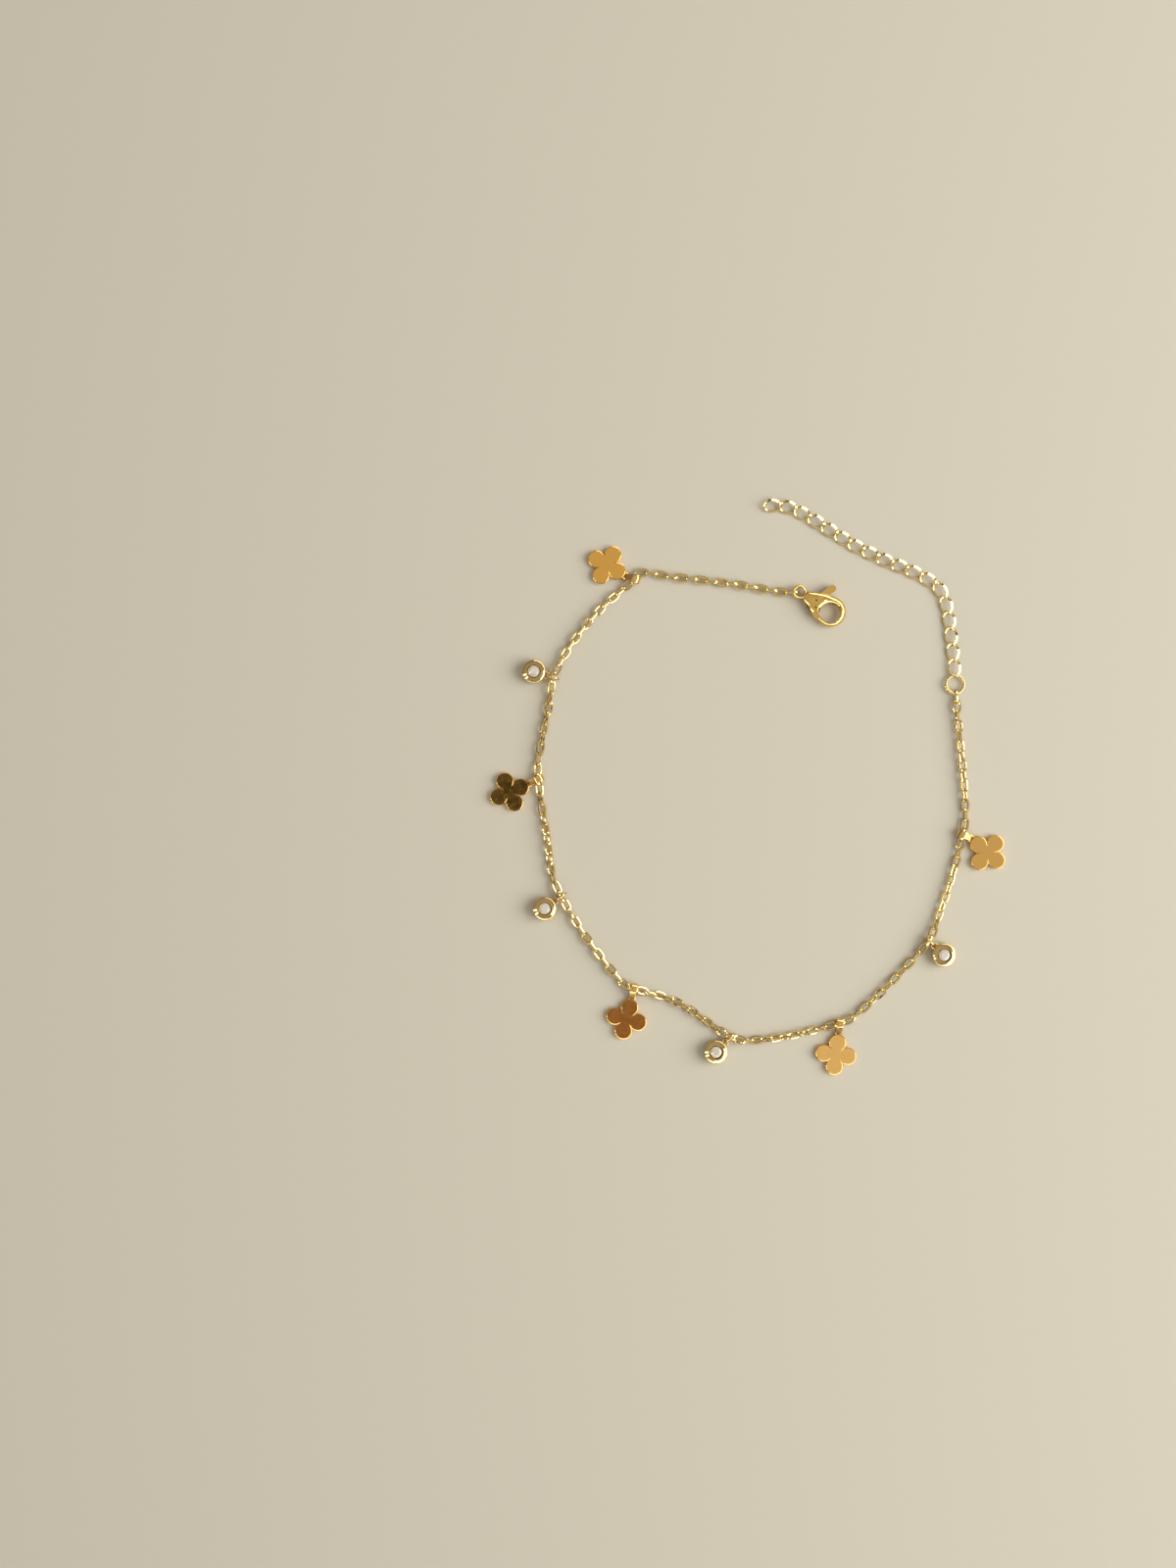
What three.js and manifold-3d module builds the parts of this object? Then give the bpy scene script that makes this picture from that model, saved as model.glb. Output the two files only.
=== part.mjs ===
// A charm anklet laid open on a flat surface: a cable chain with clover charms and
// crystal drops, a lobster clasp at one end and an extender chain at the other.
// Millimetres, +Z up. The surface is z = 0 and the origin lies under the middle of the whole.
import * as THREE from 'three';
import { mergeVertices } from 'three/addons/utils/BufferGeometryUtils.js';
import Module from 'manifold-3d';

const wasm = await Module();
wasm.setup();

// ---------------------------------------------------------------- driving dimensions
const FRAME_SHIFT = { x: 0.09, y: 0.005 };   // puts the origin under the middle of the laid-out routes

// Cable chain: outer envelope of its crossed oval links
const CHAIN = { across: 1.0, lift: 0.8, liftInBail: 1.12, liftInRing: 1.2 };
// Extender: outer envelope of its twisted curb links
const EXTENDER = { width: 2.3, height: 1.0, lift: 0.56 };
const TUBE_SIDES = 8;
const STEPS_BETWEEN_POINTS = 2;         // steps of a chain's tube between two points of its route
const ROUND_STEPS = 20;                 // flats round a small ring
const CUT_MARGIN = 1;                   // how far a cutting solid runs past what it cuts

const CLOVER = { lobeRadius: 1.43, lobeOffset: 1.98, thickness: 1.0, edgeBevel: 0.12 };
const EAR = { ringRadius: 0.65, wire: 0.3, beyondTip: 0.2, lift: 0.55 };
const BAIL = {
  holeAtChain: 0.85,                    // inner radius round the chain
  holeAtEar: 0.27,                      // inner radius round the ear's wire
  reach: 0.95,                          // from the chain's middle to the ear's wire
  strap: 0.25,
  widthAtChain: 1.2,
  widthAtEar: 0.55,
};
const DROP = {
  reach: 3.4,                           // from the chain's middle to the bezel's middle
  radius: 2.0,
  height: 2.3,
  footRadius: 1.2,
  lipRadius: 1.3,
  seatRadius: 1.04,
  seatFloor: 1.42,
  earReach: 0.79,
  earRadius: 0.5,
  earWire: 0.26,
  earLift: 1.15,
};
const STONE = { radius: 0.96, tableRadius: 0.55, culet: 1.52, girdle: 1.92, table: 2.2, facets: 12 };
const DROP_RING = { radius: 1.03, wire: 0.32, outward: 0.1, lift: 1.22 };
const CONNECTOR = { x: 34.64, y: 17.18, radius: 1.5, wire: 0.5, lift: 0.66 };
const ROUTE_GAP = 0.3;                  // clear of the ring or eye that the last link passes through

// Clasp, in a frame of its own: u runs along it from the eye to the hook, v across it,
// with the hook ring's middle as zero.
const CLASP = {
  x: 13.75,
  y: 29.3,
  turn: -32.5,
  hookRadius: 2.55,
  hole: { u: 0.28, alongU: 1.75, alongV: 1.95 },
  thickness: 2.2,
  edgeBevel: 0.32,
  slot: 1.1,
  eye: { u: -6.14, outer: 1.2, inner: 0.72, thickness: 0.9 },
  shoulder: [                           // half widths from the neck to where the hook ring takes over
    { u: -5.3, v: 0.62 },
    { u: -4.6, v: 1.02 },
    { u: -3.6, v: 1.57 },
    { u: -2.7, v: 2.0 },
    { u: -1.8, v: 2.26 },
  ],
  hookFrom: 111,                        // where the shoulder meets the hook ring, degrees about its middle
};
const LEVER = {
  thickness: 0.9,
  pivot: { u: -2.75, v: 0.95 },
  hubRadius: 0.78,
  tab: { u: -1.86, v: 3.36 },
  tabRadius: 0.65,
  neckWidth: 1.15,
};
const PIN = { radius: 0.34, clearance: 0.07, length: 2.16 };

// ---------------------------------------------------------------- where things lie
// Where each clover hangs on the chain, which way its bail points, and which way the lobe
// with the ear points from the clover's middle. Degrees counter-clockwise from +X.
const CLOVER_PLACES = [
  { x: -19.04, y: 34.73, bailTurn: 158, earTurn: -30 },
  { x: -35.14, y: 1.27, bailTurn: 204, earTurn: 24 },
  { x: -19.23, y: -33.79, bailTurn: 262.7, earTurn: 75 },
  { x: 15.23, y: -39.62, bailTurn: 268, earTurn: 82 },
  { x: 35.85, y: -7.95, bailTurn: 335.7, earTurn: 139 },
];
// Where each drop hangs on the chain and which way it lies from it.
const DROP_PLACES = [
  { x: -32.61, y: 18.28, turn: 162.8 },
  { x: -31.3, y: -18.3, turn: 216.4 },
  { x: -3.03, y: -41.84, turn: 225.5 },
  { x: 30.23, y: -25.7, turn: 315.95 },
];
// The chain's route from the clasp's eye to the connector ring, as [x, y]. The stretches
// between the charms are listed in order, and each charm's own place closes its stretch.
const CABLE_STRETCHES = [
  { points: [[5.98, 32.6], [-2.5, 33.95], [-11.9, 35.05], [-18.3, 35.7]], ends: CLOVER_PLACES[0] },
  { points: [[-20.3, 33.65], [-24.9, 29.6], [-29.6, 23.9]], ends: DROP_PLACES[0] },
  { points: [[-33.3, 14.2], [-34.4, 8.4], [-35.25, 3.3]], ends: CLOVER_PLACES[1] },
  { points: [[-34.85, -1.2], [-33.7, -8.1], [-32.6, -15.4]], ends: DROP_PLACES[1] },
  { points: [[-28.6, -23.0], [-25.0, -28.05], [-20.8, -32.9]], ends: CLOVER_PLACES[2] },
  { points: [[-17.3, -34.3], [-12.0, -36.0], [-5.2, -40.4]], ends: DROP_PLACES[2] },
  { points: [[-0.64, -42.43], [6.36, -41.72], [13.3, -40.1]], ends: CLOVER_PLACES[3] },
  { points: [[17.1, -38.8], [22.5, -34.1], [28.6, -27.7]], ends: DROP_PLACES[3] },
  { points: [[31.8, -21.7], [34.1, -14.9], [35.3, -10.5]], ends: CLOVER_PLACES[4] },
  { points: [[36.35, -5.4], [36.05, 0.8], [35.2, 9.9]], ends: null },
];
const EXTENDER_ROUTE = [
  [34.2, 22.59], [33.9, 25.33], [33.11, 30.39], [32.03, 33], [30.1, 34.59], [27.59, 35.92],
  [22.57, 38.02], [17.75, 40.36], [13.28, 43.15], [8.89, 45.79], [6.54, 46.8], [2.3, 47.1],
];

// ---------------------------------------------------------------- materials
const chainGold = new THREE.MeshStandardMaterial({ color: 0xd9c48c, roughness: 0.25, metalness: 1 });
const plateGold = new THREE.MeshStandardMaterial({ color: 0xd9a650, roughness: 0.2, metalness: 1 });
const bezelGold = new THREE.MeshStandardMaterial({ color: 0xcfae66, roughness: 0.22, metalness: 1 });
const claspGold = new THREE.MeshStandardMaterial({ color: 0xd2a456, roughness: 0.25, metalness: 1 });
const crystal = new THREE.MeshStandardMaterial({ color: 0xf2f4f5, roughness: 0.05, metalness: 0 });

// ---------------------------------------------------------------- helpers
const radians = THREE.MathUtils.degToRad;
const polar = (radius, degrees) => [radius * Math.cos(radians(degrees)), radius * Math.sin(radians(degrees))];

function solidOf(geometry) {
  const bare = geometry.clone();
  bare.deleteAttribute('normal');
  bare.deleteAttribute('uv');
  const merged = mergeVertices(bare, 1e-4);
  return new wasm.Manifold(new wasm.Mesh({
    numProp: 3,
    vertProperties: new Float32Array(merged.attributes.position.array),
    triVerts: new Uint32Array(merged.index.array),
  }));
}

function geometryOf(solid) {
  const mesh = solid.getMesh();
  const geometry = new THREE.BufferGeometry();
  geometry.setAttribute('position', new THREE.BufferAttribute(mesh.vertProperties, 3));
  geometry.setIndex(new THREE.BufferAttribute(mesh.triVerts, 1));
  geometry.computeVertexNormals();
  return geometry;
}

// A closed ring of round wire in the XY plane
function ringGeometry(radius, wire, around = ROUND_STEPS, section = 6) {
  const profile = [];
  for (let i = 0; i <= section; i += 1) {
    const [dx, dy] = polar(wire / 2, (360 * (i + 0.5)) / section);
    profile.push(new THREE.Vector2(radius + dx, dy));
  }
  profile[section].copy(profile[0]);
  return new THREE.LatheGeometry(profile, around).rotateX(Math.PI / 2);
}

// A plate standing on z = low, with the outline of a shape and optional bevelled edges
function plate(shape, low, thickness, bevel = 0, curveSegments = 12) {
  const geometry = new THREE.ExtrudeGeometry(shape, {
    depth: thickness - 2 * bevel,
    bevelEnabled: bevel > 0,
    bevelThickness: bevel,
    bevelSize: bevel,
    bevelOffset: -bevel,
    bevelSegments: 1,
    curveSegments,
  });
  return geometry.translate(0, 0, low + bevel);
}

function polygon(points) {
  return new THREE.Shape(points.map(([x, y]) => new THREE.Vector2(x, y)));
}

// A smooth route whose steps fall on its own points, so a tube along it goes through them all
class Route extends THREE.CatmullRomCurve3 {
  getPointAt(share, target) {
    return this.getPoint(share, target);
  }

  getTangentAt(share, target) {
    return this.getTangent(share, target);
  }
}

function tube(points, section) {
  const extrudePath = new Route(points, false, 'centripetal');
  const steps = STEPS_BETWEEN_POINTS * (points.length - 1);
  return new THREE.ExtrudeGeometry(section, { steps, bevelEnabled: false, extrudePath });
}

// ---------------------------------------------------------------- chains
// A tube's section: `up` is its height and `wide` its width
function tubeSection(up, wide) {
  const corners = [];
  for (let i = 0; i < TUBE_SIDES; i += 1) {
    const [x, y] = polar(0.5, (360 * (i + 0.5)) / TUBE_SIDES);
    corners.push([x * up, y * wide]);
  }
  return polygon(corners);
}

// The point `gap` beyond a ring of outer radius `outer`, on the way to the route's next point
function besideRing(ring, outer, next) {
  const away = new THREE.Vector2(next[0] - ring.x, next[1] - ring.y).setLength(outer + ROUTE_GAP);
  return [ring.x + away.x, ring.y + away.y];
}

function claspEye() {
  const [dx, dy] = polar(CLASP.eye.u, CLASP.turn);
  return { x: CLASP.x + dx, y: CLASP.y + dy };
}

function cableRoute() {
  const first = CABLE_STRETCHES[0].points[0];
  const [startX, startY] = besideRing(claspEye(), CLASP.eye.outer, first);
  const route = [new THREE.Vector3(startX, startY, CHAIN.lift)];
  for (const { points, ends } of CABLE_STRETCHES) {
    for (const [x, y] of points) {
      route.push(new THREE.Vector3(x, y, CHAIN.lift));
    }
    if (ends) {
      const lift = DROP_PLACES.includes(ends) ? CHAIN.liftInRing : CHAIN.liftInBail;
      route.push(new THREE.Vector3(ends.x, ends.y, lift));
    }
  }
  const last = CABLE_STRETCHES.at(-1).points.at(-1);
  const [endX, endY] = besideRing(CONNECTOR, CONNECTOR.radius + CONNECTOR.wire / 2, last);
  route.push(new THREE.Vector3(endX, endY, CHAIN.lift));
  return route;
}

function extenderRoute() {
  const start = besideRing(CONNECTOR, CONNECTOR.radius + CONNECTOR.wire / 2, EXTENDER_ROUTE[0]);
  return [start, ...EXTENDER_ROUTE].map(([x, y]) => new THREE.Vector3(x, y, EXTENDER.lift));
}

// ---------------------------------------------------------------- clover charm and its bail
function cloverShape() {
  const { lobeRadius, lobeOffset } = CLOVER;
  // Neighbouring lobes cross where the lobe's circle meets the diagonal between them
  const reach = lobeOffset / Math.SQRT2;
  const cross = reach + Math.sqrt(lobeRadius ** 2 - reach ** 2);
  const [cx, cy] = polar(cross, 45);
  const half = Math.atan2(cy, cx - lobeOffset);
  const shape = new THREE.Shape();
  for (let lobe = 0; lobe < 4; lobe += 1) {
    const facing = (lobe * Math.PI) / 2;
    const x = lobeOffset * Math.cos(facing);
    const y = lobeOffset * Math.sin(facing);
    shape.absarc(x, y, lobeRadius, facing - half, facing + half, false);
  }
  return shape;
}

function cloverGeometry() {
  const leaf = solidOf(plate(cloverShape(), 0, CLOVER.thickness, CLOVER.edgeBevel, 7));
  const tip = CLOVER.lobeOffset + CLOVER.lobeRadius;
  const ear = ringGeometry(EAR.ringRadius, EAR.wire, 16);
  return geometryOf(leaf.add(solidOf(ear.translate(tip + EAR.beyondTip, 0, EAR.lift))));
}

// Outline of a belt round the chain and round the ear's wire, `out` beyond its inner face.
// x runs from the chain to the ear and y is height above the chain's middle.
function beltPath(path, out, clockwise) {
  const drop = EAR.lift - CHAIN.liftInBail;
  const big = BAIL.holeAtChain + out;
  const small = BAIL.holeAtEar + out;
  const length = Math.hypot(BAIL.reach, drop);
  const lean = Math.atan2(drop, BAIL.reach);
  const wrap = Math.acos((big - small) / length);
  if (clockwise) {
    path.absarc(0, 0, big, lean - wrap, lean + wrap, true);
    path.absarc(BAIL.reach, drop, small, lean + wrap, lean - wrap, true);
  } else {
    path.absarc(0, 0, big, lean + wrap, lean - wrap + 2 * Math.PI, false);
    path.absarc(BAIL.reach, drop, small, lean - wrap, lean + wrap, false);
  }
  path.closePath();
}

function bailGeometry() {
  const shape = new THREE.Shape();
  beltPath(shape, BAIL.strap, false);
  const hole = new THREE.Path();
  beltPath(hole, 0, true);
  shape.holes.push(hole);
  const wide = BAIL.widthAtChain;
  const belt = plate(shape, -wide / 2, wide, 0, 7).rotateX(Math.PI / 2);
  // The strap narrows towards the ear
  const tip = BAIL.reach + BAIL.holeAtEar + BAIL.strap;
  const taper = polygon([
    [-BAIL.holeAtChain - CUT_MARGIN, -wide / 2 - 0.001],
    [0.1, -wide / 2 - 0.001],
    [tip - 0.4, -BAIL.widthAtEar / 2],
    [tip + CUT_MARGIN, -BAIL.widthAtEar / 2],
    [tip + CUT_MARGIN, BAIL.widthAtEar / 2],
    [tip - 0.4, BAIL.widthAtEar / 2],
    [0.1, wide / 2 + 0.001],
    [-BAIL.holeAtChain - CUT_MARGIN, wide / 2 + 0.001],
  ]);
  return geometryOf(solidOf(belt).intersect(solidOf(plate(taper, -3, 6))));
}

// ---------------------------------------------------------------- crystal drop
function bezelGeometry() {
  const { radius, height, footRadius, lipRadius, seatRadius, seatFloor } = DROP;
  const profile = [[0, 0], [footRadius, 0]];
  for (const degrees of [-50, -22, 0, 22, 50]) {
    const [dx, dz] = polar(1, degrees);
    profile.push([lipRadius + (radius - lipRadius) * dx, (height / 2) * (1 + dz)]);
  }
  profile.push([lipRadius, height], [seatRadius, height - 0.2], [seatRadius, seatFloor], [0, seatFloor]);
  const points = profile.map(([x, y]) => new THREE.Vector2(x, y));
  return new THREE.LatheGeometry(points, ROUND_STEPS).rotateX(Math.PI / 2);
}

function dropGeometry() {
  const ear = ringGeometry(DROP.earRadius, DROP.earWire, 14);
  const earAt = -(DROP.reach - DROP.earReach - DROP.earRadius);
  const body = solidOf(bezelGeometry()).add(solidOf(ear.translate(earAt, 0, DROP.earLift)));
  // The ear's far side ends inside the bezel's wall, so the stone's seat is cut again
  const seat = [[0, DROP.seatFloor], [DROP.seatRadius, DROP.seatFloor], [DROP.seatRadius, DROP.height + 1], [0, DROP.height + 1]];
  const cutter = new THREE.LatheGeometry(seat.map(([x, y]) => new THREE.Vector2(x, y)), ROUND_STEPS);
  return geometryOf(body.subtract(solidOf(cutter.rotateX(Math.PI / 2))));
}

function stoneGeometry() {
  const profile = [
    [0, STONE.culet],
    [STONE.radius, STONE.girdle - 0.04],
    [STONE.radius, STONE.girdle + 0.04],
    [STONE.tableRadius, STONE.table],
    [0, STONE.table],
  ];
  const points = profile.map(([x, y]) => new THREE.Vector2(x, y));
  return new THREE.LatheGeometry(points, STONE.facets).rotateX(Math.PI / 2);
}

// ---------------------------------------------------------------- clasp
function claspOutline() {
  const { shoulder, hookRadius, hookFrom } = CLASP;
  const shape = new THREE.Shape();
  shape.moveTo(shoulder[0].u, shoulder[0].v);
  shoulder.forEach(({ u, v }) => shape.lineTo(u, -v));
  shape.absarc(0, 0, hookRadius, radians(-hookFrom), radians(hookFrom), false);
  shoulder.slice(1).reverse().forEach(({ u, v }) => shape.lineTo(u, v));
  return shape;
}

function claspBodyGeometry() {
  const middle = CLASP.thickness / 2;
  const { eye, slot, hole } = CLASP;
  const through = CLASP.thickness + 2 * CUT_MARGIN;
  let body = solidOf(plate(claspOutline(), 0, CLASP.thickness, CLASP.edgeBevel, 12));
  const holePlan = new THREE.Shape();
  holePlan.absellipse(hole.u, 0, hole.alongU, hole.alongV, 0, 2 * Math.PI, false);
  body = body.subtract(solidOf(plate(holePlan, -CUT_MARGIN, through)));
  const eyeRadius = (eye.outer + eye.inner) / 2;
  const eyeRing = ringGeometry(eyeRadius, eye.outer - eye.inner);
  eyeRing.scale(1, 1, eye.thickness / (eye.outer - eye.inner)).translate(eye.u, 0, middle);
  body = body.add(solidOf(eyeRing));
  // The eye's hole stays open where the neck meets it
  body = body.subtract(solidOf(plate(disc(eye.u, 0, eye.inner), -CUT_MARGIN, through, 0, 8)));
  // The gate's opening, between the end of the cheeks and the hook's slanted tip
  const gateway = polygon([[-0.9, -0.64], [-3.9, -2.78], [-2.2, -3.4], [-1.62, -2.42], [-0.3, -1.72], [0, -1]]);
  body = body.subtract(solidOf(plate(gateway, -CUT_MARGIN, through)));
  // The slot between the cheeks, where the lever turns
  const slotPlan = polygon([[-4.15, -3.2], [-1.05, -1], [-1.05, 3.2], [-4.15, 3.2]]);
  body = body.subtract(solidOf(plate(slotPlan, middle - slot / 2, slot)));
  const pinHole = disc(LEVER.pivot.u, LEVER.pivot.v, PIN.radius + PIN.clearance);
  return geometryOf(body.subtract(solidOf(plate(pinHole, -CUT_MARGIN, through, 0, 6))));
}

function disc(u, v, radius) {
  const shape = new THREE.Shape();
  shape.absarc(u, v, radius, 0, 2 * Math.PI, false);
  return shape;
}

function claspLeverGeometry() {
  const { pivot, tab, thickness } = LEVER;
  const low = CLASP.thickness / 2 - thickness / 2;
  const arm = new THREE.Vector2(tab.u - pivot.u, tab.v - pivot.v);
  const side = new THREE.Vector2(-arm.y, arm.x).setLength(LEVER.neckWidth / 2);
  const armShape = polygon([
    [pivot.u + side.x, pivot.v + side.y],
    [pivot.u - side.x, pivot.v - side.y],
    [tab.u - side.x, tab.v - side.y],
    [tab.u + side.x, tab.v + side.y],
  ]);
  // The gate runs from the hub across the neck and closes the hook
  const gateShape = polygon([
    [-3.35, 0.45], [-3.2, -1.0], [-2.75, -1.86], [-2.1, -2.2], [-1.72, -2.33],
    [-0.62, -1.74], [-1.15, -1.62], [-1.85, -1.25], [-2.1, -0.6], [-2.1, 0.6],
  ]);
  const shapes = [disc(pivot.u, pivot.v, LEVER.hubRadius), disc(tab.u, tab.v, LEVER.tabRadius), armShape, gateShape];
  let lever = solidOf(plate(shapes[0], low, thickness, 0, 8));
  for (const shape of shapes.slice(1)) {
    lever = lever.add(solidOf(plate(shape, low, thickness, 0, 8)));
  }
  const bore = plate(disc(pivot.u, pivot.v, PIN.radius + PIN.clearance), -CUT_MARGIN, 2 * CLASP.thickness, 0, 6);
  return geometryOf(lever.subtract(solidOf(bore)));
}

function claspPinGeometry() {
  const low = (CLASP.thickness - PIN.length) / 2;
  return plate(disc(LEVER.pivot.u, LEVER.pivot.v, PIN.radius), low, PIN.length, 0, 6);
}

// ---------------------------------------------------------------- assembly
const anklet = new THREE.Group();
anklet.position.set(FRAME_SHIFT.x, FRAME_SHIFT.y, 0);

function addPiece(parent, name, geometry, material) {
  const mesh = new THREE.Mesh(geometry, material);
  mesh.name = name;
  parent.add(mesh);
  return mesh;
}

function turnedGroup(parent, x, y, degrees) {
  const group = new THREE.Group();
  group.position.set(x, y, 0);
  group.rotation.z = radians(degrees);
  parent.add(group);
  return group;
}

const cableTube = tube(cableRoute(), tubeSection(CHAIN.across, CHAIN.across));
addPiece(anklet, 'cable_chain', cableTube, chainGold);
const extenderTube = tube(extenderRoute(), tubeSection(EXTENDER.height, EXTENDER.width));
addPiece(anklet, 'extender_chain', extenderTube, chainGold);
const connector = addPiece(anklet, 'connector_ring', ringGeometry(CONNECTOR.radius, CONNECTOR.wire), chainGold);
connector.position.set(CONNECTOR.x, CONNECTOR.y, CONNECTOR.lift);

CLOVER_PLACES.forEach(({ x, y, bailTurn, earTurn }, index) => {
  const hanger = turnedGroup(anklet, x, y, bailTurn);
  const bail = addPiece(hanger, `clover_bail_${index + 1}`, bailGeometry(), plateGold);
  bail.position.z = CHAIN.liftInBail;
  // The ear's middle lies one ring radius past its wire, and the clover turns about it
  const ear = turnedGroup(hanger, BAIL.reach + EAR.ringRadius, 0, earTurn - bailTurn);
  const clover = addPiece(ear, `clover_${index + 1}`, cloverGeometry(), plateGold);
  clover.position.x = -(CLOVER.lobeOffset + CLOVER.lobeRadius + EAR.beyondTip);
});

DROP_PLACES.forEach(({ x, y, turn }, index) => {
  const hanger = turnedGroup(anklet, x, y, turn);
  const drop = addPiece(hanger, `drop_${index + 1}`, dropGeometry(), bezelGold);
  drop.position.x = DROP.reach;
  const stone = addPiece(hanger, `drop_stone_${index + 1}`, stoneGeometry(), crystal);
  stone.position.x = DROP.reach;
  const ringShape = ringGeometry(DROP_RING.radius, DROP_RING.wire).rotateX(Math.PI / 2);
  const ring = addPiece(hanger, `drop_ring_${index + 1}`, ringShape, bezelGold);
  ring.position.set(DROP_RING.outward, 0, DROP_RING.lift);
});

const clasp = turnedGroup(anklet, CLASP.x, CLASP.y, CLASP.turn);
addPiece(clasp, 'clasp_body', claspBodyGeometry(), claspGold);
addPiece(clasp, 'clasp_lever', claspLeverGeometry(), claspGold);
addPiece(clasp, 'clasp_pin', claspPinGeometry(), claspGold);

export default anklet;
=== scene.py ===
"""A charm anklet laid open: gold-plated cable chain, clover charms, crystal drops, a lobster clasp
and a curb-link extender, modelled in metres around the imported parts."""
import math
import random

import bmesh
import bpy
from bpy.props import FloatProperty, FloatVectorProperty, IntProperty, PointerProperty
from mathutils import Matrix, Vector


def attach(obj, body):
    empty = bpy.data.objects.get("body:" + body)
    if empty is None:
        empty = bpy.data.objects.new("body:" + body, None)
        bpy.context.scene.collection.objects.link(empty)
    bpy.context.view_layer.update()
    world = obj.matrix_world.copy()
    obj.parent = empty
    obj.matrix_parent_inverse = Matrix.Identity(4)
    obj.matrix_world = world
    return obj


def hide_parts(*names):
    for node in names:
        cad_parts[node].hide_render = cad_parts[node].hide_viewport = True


bl_info = {
    "name": "Charm anklet",
    "version": (1, 0, 0),
    "blender": (4, 5, 0),
    "location": "3D View > Sidebar > Anklet",
    "description": "Models a charm anklet laid open, with its clasp and extender chain",
    "category": "Object",
}

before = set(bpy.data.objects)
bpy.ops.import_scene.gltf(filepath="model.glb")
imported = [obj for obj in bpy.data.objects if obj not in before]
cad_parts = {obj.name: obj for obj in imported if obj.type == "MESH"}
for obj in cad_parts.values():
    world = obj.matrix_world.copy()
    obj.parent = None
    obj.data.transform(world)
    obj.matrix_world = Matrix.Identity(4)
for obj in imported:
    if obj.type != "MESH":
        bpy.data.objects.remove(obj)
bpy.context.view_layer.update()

MM = 0.001
TINY = 1e-7
THROUGH = 4 * MM                                 # long enough to go right through the clasp
SHIFT = Vector((0.09 * MM, 0.005 * MM, 0.0))     # from the laid-out plan to the frame's origin

# ---------------- where things lie, in millimetres
# Each clover's place on the chain, the way its bail points and the way its eared lobe points,
# in degrees
CLOVER_PLACES = [
    (-19.04, 34.73, 158, -30),
    (-35.14, 1.27, 204, 24),
    (-19.23, -33.79, 262.7, 75),
    (15.23, -39.62, 268, 82),
    (35.85, -7.95, 335.7, 139),
]
# Each drop's place on the chain and the way it lies from it
DROP_PLACES = [
    (-32.61, 18.28, 162.8),
    (-31.3, -18.3, 216.4),
    (-3.03, -41.84, 225.5),
    (30.23, -25.7, 315.95),
]
# The cable chain's way from charm to charm: a stretch ends at the next charm, and the last at the
# joining ring
CABLE_STRETCHES = [
    [(5.98, 32.6), (-2.5, 33.95), (-11.9, 35.05), (-18.3, 35.7)],
    [(-20.3, 33.65), (-24.9, 29.6), (-29.6, 23.9)],
    [(-33.3, 14.2), (-34.4, 8.4), (-35.25, 3.3)],
    [(-34.85, -1.2), (-33.7, -8.1), (-32.6, -15.4)],
    [(-28.6, -23.0), (-25.0, -28.05), (-20.8, -32.9)],
    [(-17.3, -34.3), (-12.0, -36.0), (-5.2, -40.4)],
    [(-0.64, -42.43), (6.36, -41.72), (13.3, -40.1)],
    [(17.1, -38.8), (22.5, -34.1), (28.6, -27.7)],
    [(31.8, -21.7), (34.1, -14.9), (35.3, -10.5)],
    [(36.35, -5.4), (36.05, 0.8), (35.2, 9.9)],
]
# How far each stretch's links turn from flat and upright towards lying on their corners, in degrees
STRETCH_TWISTS = [4, 14, 30, 42, 12, 26, 40, 30, 42, 40]
EXTENDER_ROUTE = [
    (34.2, 22.59), (33.9, 25.33), (33.11, 30.39), (32.03, 33), (30.1, 34.59), (27.59, 35.92),
    (22.57, 38.02), (17.75, 40.36), (13.28, 43.15), (8.89, 45.79), (6.54, 46.8), (2.3, 47.1),
]
RIVET_PLACE = (-2.75, 0.95)         # from the hook's middle, along and across the clasp


# ---------------- settings
def length(name, description, default):
    return FloatProperty(name=name, description=description, default=default * MM, min=0.0,
                         precision=6, subtype="DISTANCE", unit="LENGTH")


def angle(name, description, degrees):
    return FloatProperty(name=name, description=description, default=math.radians(degrees),
                         subtype="ANGLE", unit="ROTATION")


def colour(name, description, default):
    return FloatVectorProperty(name=name, description=description, default=default, size=3,
                               min=0.0, max=1.0, subtype="COLOR")


class ChainSizes(bpy.types.PropertyGroup):
    lift: length("Chain height", "Height of the cable chain's middle", 0.82)
    lift_in_bail: length("Height in a bail", "Height of the chain's middle in a bail", 1.02)
    lift_in_ring: length("Height in a ring", "Height of the chain's middle in a drop's ring", 1.2)
    link_length: length("Link length", "Outer length of a cable link", 2.5)
    link_width: length("Link width", "Outer width of a cable link", 1.55)
    link_wire: length("Link wire", "Thickness of a cable link's wire", 0.45)
    pitch: length("Link pitch", "Distance from one cable link's middle to the next", 1.6)
    curb_length: length("Curb length", "Outer length of an extender link", 3.4)
    curb_width: length("Curb width", "Outer width of an extender link", 2.4)
    curb_wire: length("Curb wire", "Thickness of an extender link's wire", 0.44)
    curb_lift: length("Curb height", "Height of the extender's middle", 0.73)
    curb_twist: angle("Curb twist", "Turn of an extender link from one end to the other", 70)
    curb_count: IntProperty(name="Curb links", description="Number of extender links", default=18,
                            min=1)


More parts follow.
